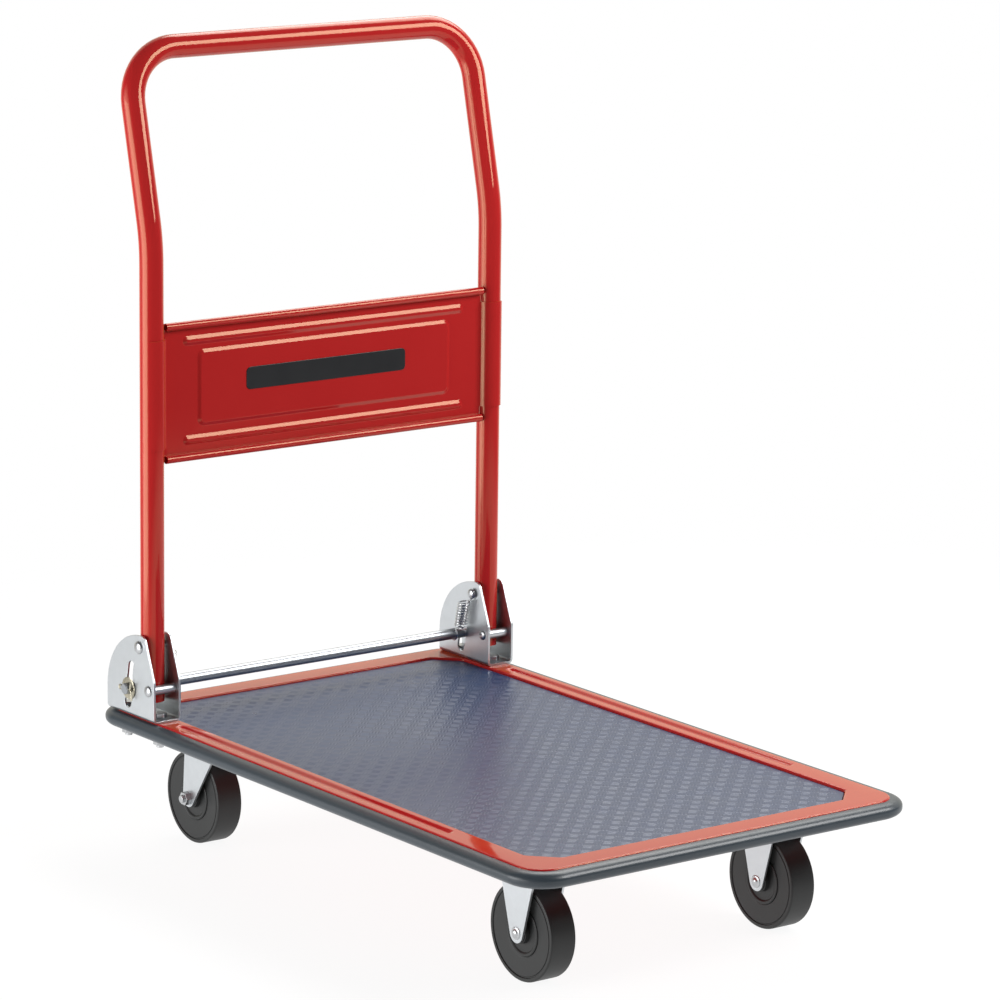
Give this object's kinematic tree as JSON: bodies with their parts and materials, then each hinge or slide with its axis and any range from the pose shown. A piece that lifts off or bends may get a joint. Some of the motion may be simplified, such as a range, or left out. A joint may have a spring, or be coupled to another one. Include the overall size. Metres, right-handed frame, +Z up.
{
  "type": "folding platform cart",
  "caption": "Flat platform cart with a bumper-edged pressed deck, ribbed mat, fold-down tube handle with a foot-pressed lock bar, fixed front casters and swivel rear casters.",
  "frame": {"origin": "centre of the bounding box on the floor, where the wheels stand", "axes": "+X forwards, away from the handle; +Y to the pusher's left; +Z up"},
  "size_m": [0.78, 0.487, 0.8628],
  "materials": {
    "gloss_red_paint": "gloss powder coat",
    "ribbed_mat": "embossed satin",
    "bumper_rubber": "satin",
    "bright_zinc": "bright zinc plate",
    "fastener_zinc": "zinc plate",
    "yellow_zinc": "yellow zinc plate",
    "spring_steel": "drawn wire",
    "wheel_rubber": "moulded satin",
    "wheel_core": "moulded satin"
  },
  "bodies": {
    "deck": {"deck_pan": "gloss_red_paint", "deck_mat": "ribbed_mat", "edge_bumper": "bumper_rubber", "front_cross_member": "gloss_red_paint", "rear_cross_member": "gloss_red_paint", "bracket_spacers": "fastener_zinc", "bracket_bolts": "fastener_zinc", "bracket_nuts": "fastener_zinc", "bracket_washers": "fastener_zinc", "caster_bolts": "fastener_zinc", "caster_nuts": "fastener_zinc", "bracket_left": "bright_zinc", "handle_pivot_left": "fastener_zinc", "stop_pin_left": "fastener_zinc", "stop_sleeve_left": "bright_zinc", "lock_spring_left": "spring_steel", "front_fork_left": "bright_zinc", "front_axle_left": "fastener_zinc", "swivel_plate_left": "bright_zinc", "kingpin_left": "fastener_zinc", "axle_sleeve_front_left": "fastener_zinc", "bracket_right": "bright_zinc", "handle_pivot_right": "fastener_zinc", "stop_pin_right": "fastener_zinc", "stop_sleeve_right": "bright_zinc", "lock_spring_right": "spring_steel", "front_fork_right": "bright_zinc", "front_axle_right": "fastener_zinc", "swivel_plate_right": "bright_zinc", "kingpin_right": "fastener_zinc", "axle_sleeve_front_right": "fastener_zinc"},
    "handle": {"handle_frame": "gloss_red_paint", "handle_panel": "gloss_red_paint"},
    "lock_bar": {"lock_bar": "bright_zinc", "bar_washers": "yellow_zinc", "split_pins": "yellow_zinc"},
    "swivel_left": {"rear_fork_left": "bright_zinc", "swivel_balls_left": "spring_steel", "rear_axle_bolt_left": "fastener_zinc", "rear_axle_nut_left": "fastener_zinc", "axle_sleeve_rear_left": "fastener_zinc"},
    "wheel_front_left": {"tyre_front_left": "wheel_rubber", "hub_front_left": "wheel_core"},
    "wheel_rear_left": {"tyre_rear_left": "wheel_rubber", "hub_rear_left": "wheel_core"},
    "swivel_right": {"rear_fork_right": "bright_zinc", "swivel_balls_right": "spring_steel", "rear_axle_bolt_right": "fastener_zinc", "rear_axle_nut_right": "fastener_zinc", "axle_sleeve_rear_right": "fastener_zinc"},
    "wheel_front_right": {"tyre_front_right": "wheel_rubber", "hub_front_right": "wheel_core"},
    "wheel_rear_right": {"tyre_rear_right": "wheel_rubber", "hub_rear_right": "wheel_core"}
  },
  "joints": [
    {"name": "handle_fold", "type": "hinge", "parent": "deck", "child": "handle", "pos_m": [-0.306, 0, 0.225], "axis": [0, 1, 0], "range_deg": [0, 97]},
    {"name": "lock_bar_press", "type": "slide", "parent": "deck", "child": "lock_bar", "axis": [0.1736, 0, 0.9848], "range_m": [-0.0157, 0], "stiffness_N_per_m": 1200, "springref_m": 0.015, "deforming": ["lock_spring_left", "lock_spring_right"]},
    {"name": "rear_swivel_left", "type": "hinge", "parent": "deck", "child": "swivel_left", "pos_m": [-0.283, 0.152, 0.12], "axis": [0, 0, 1], "continuous": true},
    {"name": "rear_wheel_spin_left", "type": "hinge", "parent": "swivel_left", "child": "wheel_rear_left", "pos_m": [-0.309, 0.152, 0.05], "axis": [0, 1, 0], "continuous": true},
    {"name": "front_wheel_spin_left", "type": "hinge", "parent": "deck", "child": "wheel_front_left", "pos_m": [0.272, 0.152, 0.05], "axis": [0, 1, 0], "continuous": true},
    {"name": "rear_swivel_right", "type": "hinge", "parent": "deck", "child": "swivel_right", "pos_m": [-0.283, -0.152, 0.12], "axis": [0, 0, 1], "continuous": true},
    {"name": "rear_wheel_spin_right", "type": "hinge", "parent": "swivel_right", "child": "wheel_rear_right", "pos_m": [-0.309, -0.152, 0.05], "axis": [0, 1, 0], "continuous": true},
    {"name": "front_wheel_spin_right", "type": "hinge", "parent": "deck", "child": "wheel_front_right", "pos_m": [0.272, -0.152, 0.05], "axis": [0, 1, 0], "continuous": true}
  ]
}
